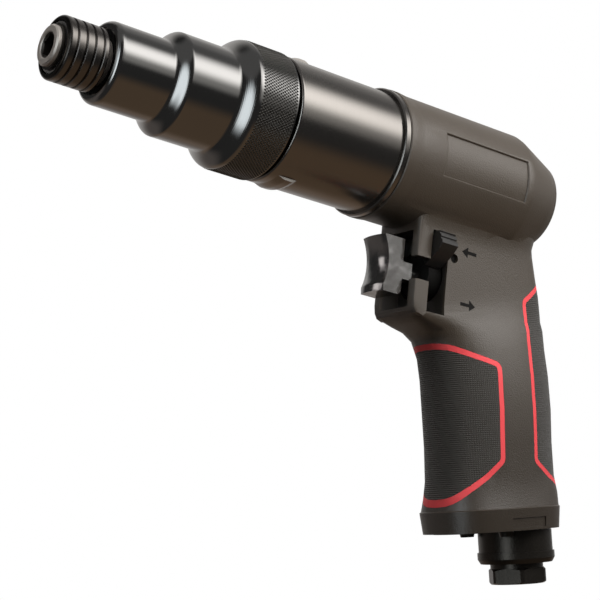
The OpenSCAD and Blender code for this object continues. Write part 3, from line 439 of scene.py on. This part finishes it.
panelRim = {"low": (-0.1682, 0.0185, -0.0070), "high": (-0.1326, 0.0212, 0.0070), "outside": 0.0209,
            "radius": 0.00065, "flat": 0.5, "sharp": 1.0}
triggerCrown = {"front": -0.1262, "half": 0.0057, "drop": 0.0010, "cuts": 8}
smoothNodes = {
    "motor_housing": {"piece": "housingShell", "body": "housing", "edgeAngle": 34, "rim": panelRim},
    "front_grip": {"piece": "frontGrip", "body": "housing", "edgeAngle": 40},
    "rear_grip": {"piece": "rearGrip", "body": "housing", "edgeAngle": 40},
    "front_trim": {"piece": "frontTrim", "body": "housing", "edgeAngle": 40},
    "rear_trim": {"piece": "rearTrim", "body": "housing", "edgeAngle": 40},
    "trigger": {"piece": "triggerShell", "body": "trigger", "edgeAngle": 28, "radius": 0.0008,
                "flat": 0.5, "slot": "black_plastic", "crown": triggerCrown},
    "reverse_lever": {"piece": "leverArm", "body": "reverser", "edgeAngle": 30, "radius": 0.0004,
                      "flat": 0.5},
}
smoothPieces = {nodeName: smoothCopy(nodeName, spec) for nodeName, spec in smoothNodes.items()}
print("smooth copies made:", len(smoothPieces))

# the two springs that shorten when the trigger or the chuck sleeve is moved, copied smooth; their seat and
# kept length are worked out but not applied
springs = {
    "valve_spring": {"piece": "valveCoil", "body": "housing", "edgeAngle": 60,
                     "joint": "trigger_slide", "travel": 0.005, "seat": "rear"},
    "sleeve_spring": {"piece": "sleeveCoil", "body": "drive_line", "edgeAngle": 60,
                      "joint": "sleeve_slide", "travel": 0.0026, "seat": "front"},
}
for nodeName, spec in springs.items():
    low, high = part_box(nodeName)
    seat = (low if spec["seat"] == "rear" else high)[0]
    keep = 1 - spec["travel"] / (high[0] - low[0])
    coil = smoothCopy(nodeName, spec)
    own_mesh(coil)
print("springs made:", len(springs))

# knurled band of raised diamonds around the rear step of the clutch housing
knurl = {"radius": 0.02015, "height": 0.0003, "from": -0.0611, "to": -0.0743, "wide": 0.00101,
         "long": 0.0013, "merge": 0.000002}


def addKnurl(spec):
    shape = bmesh.new()
    count = round(2 * math.pi * spec["radius"] / spec["wide"])
    halfWide = spec["wide"] / 2
    halfLong = spec["long"] / 2
    rows = int((spec["from"] - spec["to"]) / halfLong) - 1
    around = Matrix.Rotation(math.pi / count, 3, "X")
    for row in range(rows):
        middle = spec["from"] - halfLong * (row + 1)
        corners = [(middle + halfLong, 0), (middle, halfWide),
                   (middle - halfLong, 0), (middle, -halfWide)]
        base = [shape.verts.new((x, y, spec["radius"])) for x, y in corners]
        top = shape.verts.new((middle, 0, spec["radius"] + spec["height"]))
        for i in range(4):
            shape.faces.new((base[i], top, base[(i + 1) % 4]))
        if row % 2:
            bmesh.ops.rotate(shape, verts=base + [top], cent=(0, 0, 0), matrix=around)
    bmesh.ops.spin(shape, geom=everyElement(shape), cent=(0, 0, 0), axis=(1, 0, 0),
                   angle=2 * math.pi, steps=count, use_duplicate=True, use_merge=False)
    bmesh.ops.remove_doubles(shape, verts=shape.verts, dist=spec["merge"])
    bmesh.ops.recalc_face_normals(shape, faces=shape.faces)
    addPiece("knurlBand", shape, "knurl_steel", "housing", smooth=False)


addKnurl(knurl)
print("knurl made")

# direction arrows beside the lever slot, thin dark inlays laid on the moulding as painted shade for the
# engraved strokes
arrows = {"proud": 0.00005, "sunk": 0.0002, "length": 0.0062, "stroke": 0.0011, "headLong": 0.0025,
          "headWide": 0.0036, "forwardAt": (-0.1540, -0.0262), "reverseAt": (-0.1550, -0.0435),
          "rayFrom": 0.05}


def addArrow(name, spec, middle, way):
    tip = spec["length"] / 2
    neck = tip - spec["headLong"]
    stroke = spec["stroke"] / 2
    wide = spec["headWide"] / 2
    outline = [(-tip, -stroke), (neck, -stroke), (neck, -wide), (tip, 0),
               (neck, wide), (neck, stroke), (-tip, stroke)]
    shape = bmesh.new()
    corners = []
    for along, across in outline:
        above = Vector((middle[0] + way * along, spec["rayFrom"], middle[1] + across))
        place = smoothPieces["motor_housing"].ray_cast(above, Vector((0, -1, 0)))[1]
        corners.append(shape.verts.new(place - Vector((0, spec["sunk"], 0))))
    raised = bmesh.ops.extrude_face_region(shape, geom=[shape.faces.new(corners)])["geom"]
    top = [v for v in raised if isinstance(v, bmesh.types.BMVert)]
    bmesh.ops.translate(shape, vec=(0, spec["sunk"] + spec["proud"], 0), verts=top)
    bmesh.ops.recalc_face_normals(shape, faces=shape.faces)
    addPiece(name, shape, "slot_dark", "housing", smooth=False)


addArrow("forwardArrow", arrows, arrows["forwardAt"], 1)
addArrow("reverseArrow", arrows, arrows["reverseAt"], -1)
print("arrows made")

# studio: white backdrop, soft lamps for the body, and a tent of soft bands for the steel to mirror
studio = {
    "skyAbove": 0.33,
    "skyBelow": (0.034, 0.022, 0.013),
    "skyFrom": -0.15,
    "skyTo": 0.75,
    "floorHeight": -0.176,
    "floorTone": (0.80, 0.80, 0.79),
    "floorHalf": 1.2,
    "floorCells": 8,
    "floorFade": (0.15, 0.50),
    "tentRadius": 0.95,
    "tentHalf": 1.6,
    "tentSides": 72,
    "tentDark": 0.045,
    "tentEnds": 0.18,
    "rearDim": {"from": -0.70, "to": -1.10, "left": 0.30},
    "untilFade": 0.25,
    "strips": {
        "shoulderStrip": {"low": (1.06, 0.00, -1.30), "high": (2.30, 1.50, 1.30), "fade": 0.50,
                          "tone": (2.5, 2.75, 2.9)},
        "triggerStrip": {"low": (0.88, -1.10, 0.08), "high": (1.80, -0.66, 1.10), "fade": 0.18,
                         "tone": (2.2, 2.03, 1.98)},
    },
    "tentBands": {
        "roof": {"angle": 10, "half": 18, "fade": 14, "tone": (0.12, 0.12, 0.12)},
        "softbox": {"angle": 45, "half": 2, "fade": 28, "tone": (2.85, 2.82, 2.78), "until": 0.15,
                    "dimRear": True},
        "spill": {"angle": 68, "half": 8, "fade": 16, "tone": (0.42, 0.415, 0.40), "until": 0.15,
                  "dimRear": True},
        "table": {"angle": 188, "half": 43, "fade": 30, "tone": (0.115, 0.066, 0.028), "until": 0.15},
        "floorBounce": {"angle": -112, "half": 8, "fade": 26, "tone": (0.13, 0.11, 0.10)},
        "backWall": {"angle": -58, "half": 12, "fade": 52, "tone": (0.56, 0.545, 0.53), "until": 0.2},
    },
    "lamps": {
        "topSoftbox": {"angle": 18, "ahead": 0.10, "distance": 0.36, "size": (0.60, 0.30), "power": 2.0},
        "sideSoftbox": {"angle": 69, "ahead": -0.24, "distance": 0.29, "size": (0.36, 0.16), "power": 1.2},
        "lowBounce": {"angle": 118, "ahead": 0.60, "distance": 0.50, "size": (0.70, 0.40), "power": 0.3},
        "rearSoftbox": {"angle": -52, "ahead": 0.0, "distance": 0.85, "size": (1.2, 0.6), "power": 5.5},
    },
    "middle": (-0.10, 0.0, -0.03),
}


def buildWorld(spec):
    world = bpy.data.worlds.new("studioWorld")
    scene.world = world
    world.use_nodes = True
    sheet = Sheet(world.node_tree)
    way = sheet.make("TexCoord", None, None, "Generated")
    height = sheet.axes(way)[2]
    rise = sheet.ramp(height, spec["skyFrom"], spec["skyTo"], way="SMOOTHSTEP")
    above = spec["skyAbove"]
    light = sheet.blend(rise, rgb(*spec["skyBelow"]), rgb(above, above, above))
    seen = [sheet.make("LightPath", None, None, ray) for ray in
            ("Is Camera Ray", "Is Glossy Ray", "Is Transmission Ray")]
    white = (seen[0] + seen[1] + seen[2]).math("MINIMUM", 1.0)
    shown = sheet.blend(white, light, rgb(1, 1, 1))
    sky = sheet.make("Background", None, {"Color": shown, "Strength": 1.0})
    sheet.make("OutputWorld", None, {0: sky})


def addStage(name, shape, material):
    piece = meshObject(name, shape, material)
    return piece


# pale below the tool, and clear farther out and from below
def addFloor(spec):
    material, sheet, place = newMaterial("paleFloor")
    x, y, z = sheet.axes(place)
    reach = (x * x + y * y).math("SQRT")
    gone = sheet.ramp(reach, *spec["floorFade"])
    under = sheet.make("NewGeometry", None, None, "Backfacing")
    clear = (gone + under).math("MINIMUM", 1.0)
    pale = sheet.make("BsdfDiffuse", None, {"Color": rgb(*spec["floorTone"])})
    through = sheet.make("BsdfTransparent")
    mixed = sheet.make("MixShader", None, {0: clear, 1: pale, 2: through})
    sheet.make("OutputMaterial", None, {0: mixed})
    shape = bmesh.new()
    cells = spec["floorCells"]
    bmesh.ops.create_grid(shape, x_segments=cells, y_segments=cells, size=spec["floorHalf"])
    bmesh.ops.translate(shape, vec=(0, 0, spec["floorHeight"]), verts=shape.verts)
    floor = addStage("paleFloor", shape, material)
    floor.visible_diffuse = False
    floor.visible_glossy = False


# seen only by glossy surfaces; each band fades out to both sides around the spindle axis, and the
# strips light the steel's shoulders and the trigger's front
def addTent(spec):
    material, sheet, place = newMaterial("reflectionTent")
    x, y, z = sheet.axes(place)
    across = y - spec["middle"][1]
    upward = z - spec["middle"][2]
    angle = across.math("ARCTAN2", upward) * math.degrees(1)
    dark = spec["tentDark"]
    total = rgb(dark, dark, dark)
    for band in spec["tentBands"].values():
        away = (angle - band["angle"]).math("WRAP", 180.0, -180.0).math("ABSOLUTE")
        share = sheet.ramp(away, band["half"] + band["fade"], band["half"], way="SMOOTHSTEP")
        if "until" in band:
            share = share * sheet.ramp(x, band["until"], band["until"] - spec["untilFade"])
        if "dimRear" in band:
            dim = spec["rearDim"]
            share = share * sheet.ramp(x, dim["from"], dim["to"], 1.0, dim["left"])
        total = sheet.blend(share, total, rgb(*band["tone"]), "ADD")
    reach = (across * across + upward * upward).math("SQRT")
    side = sheet.ramp(reach, 0.0, spec["tentRadius"], spec["tentEnds"], 1.0)
    total = sheet.blend(side, rgb(0, 0, 0), total)
    for strip in spec["strips"].values():
        total = sheet.blend(insideBox(sheet, place, strip), total, rgb(*strip["tone"]), "ADD")
    glow = sheet.make("Emission", None, {"Color": total, "Strength": 1.0})
    sheet.make("OutputMaterial", None, {0: glow})
    shape = bmesh.new()
    ends = [shape.verts.new((end * spec["tentHalf"], 0, spec["tentRadius"])) for end in (-1, 1)]
    bmesh.ops.spin(shape, geom=ends + [shape.edges.new(ends)], cent=(0, 0, 0), axis=(1, 0, 0),
                   angle=2 * math.pi, steps=spec["tentSides"], use_merge=True)
    for end in (-1, 1):
        rim = [e for e in shape.edges if e.is_boundary and e.verts[0].co.x * end > 0]
        bmesh.ops.edgeloop_fill(shape, edges=rim)
    bmesh.ops.translate(shape, vec=spec["middle"], verts=shape.verts)
    tent = addStage("reflectionTent", shape, material)
    tent.visible_camera = False
    tent.visible_diffuse = False
    tent.visible_shadow = False
    tent.visible_transmission = False


def addLamp(name, spec, lamp):
    data = bpy.data.lights.new(name, "AREA")
    data.shape = "RECTANGLE"
    data.size, data.size_y = lamp["size"]
    data.energy = lamp["power"]
    turn = math.radians(lamp["angle"])
    toLamp = Vector((lamp["ahead"], math.sin(turn), math.cos(turn))).normalized()
    across = (Vector((1, 0, 0)) - toLamp * toLamp.x).normalized()
    facing = Matrix((across, toLamp.cross(across), toLamp)).transposed().to_4x4()
    light = bpy.data.objects.new(name, data)
    stand = Vector(spec["middle"]) + toLamp * lamp["distance"]
    light.matrix_world = Matrix.Translation(stand) @ facing
    light.visible_camera = False
    light.visible_glossy = False
    scene.collection.objects.link(light)


buildWorld(studio)
addFloor(studio)
addTent(studio)
for name, lamp in studio["lamps"].items():
    addLamp(name, studio, lamp)
print("studio set")
